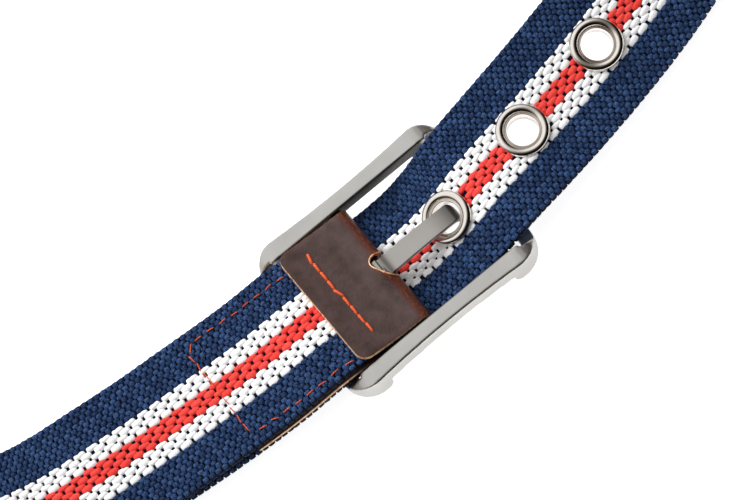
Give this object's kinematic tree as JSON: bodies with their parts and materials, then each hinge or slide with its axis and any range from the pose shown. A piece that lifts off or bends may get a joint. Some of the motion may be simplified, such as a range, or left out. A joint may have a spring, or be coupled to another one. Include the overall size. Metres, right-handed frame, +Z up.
{
  "type": "canvas web belt",
  "caption": "Fastened canvas web belt: striped woven strap, leather tab, centre-bar buckle with one prong, and eyelets.",
  "frame": {"origin": "middle of the footprint, on the floor the belt lies on", "axes": "+X along the buckle, from the strap's sewn end to its holed end; +Y from the buckle to the far side of the loop; +Z up, out of the buckle's face"},
  "size_m": [0.4252, 0.2264, 0.0393],
  "materials": {
    "navy_yarn": "heavy woven web, navy yarn",
    "white_yarn": "heavy woven web, white yarn",
    "red_yarn": "heavy woven web, coral red yarn",
    "orange_thread": "waxed sewing thread",
    "brown_leather": "brown leather with raw cut edges",
    "satin_casting": "satin grey plated casting",
    "satin_strip": "satin grey metal strip",
    "polished_nickel": "polished nickel plate"
  },
  "bodies": {
    "root": {"web_strap": "navy_yarn", "leather_tab": "brown_leather", "buckle_frame": "satin_casting", "prong": "satin_strip", "eyelet_1": "polished_nickel", "eyelet_washer_1": "polished_nickel", "eyelet_2": "polished_nickel", "eyelet_washer_2": "polished_nickel", "eyelet_3": "polished_nickel", "eyelet_washer_3": "polished_nickel", "eyelet_4": "polished_nickel", "eyelet_washer_4": "polished_nickel"}
  },
  "joints": []
}
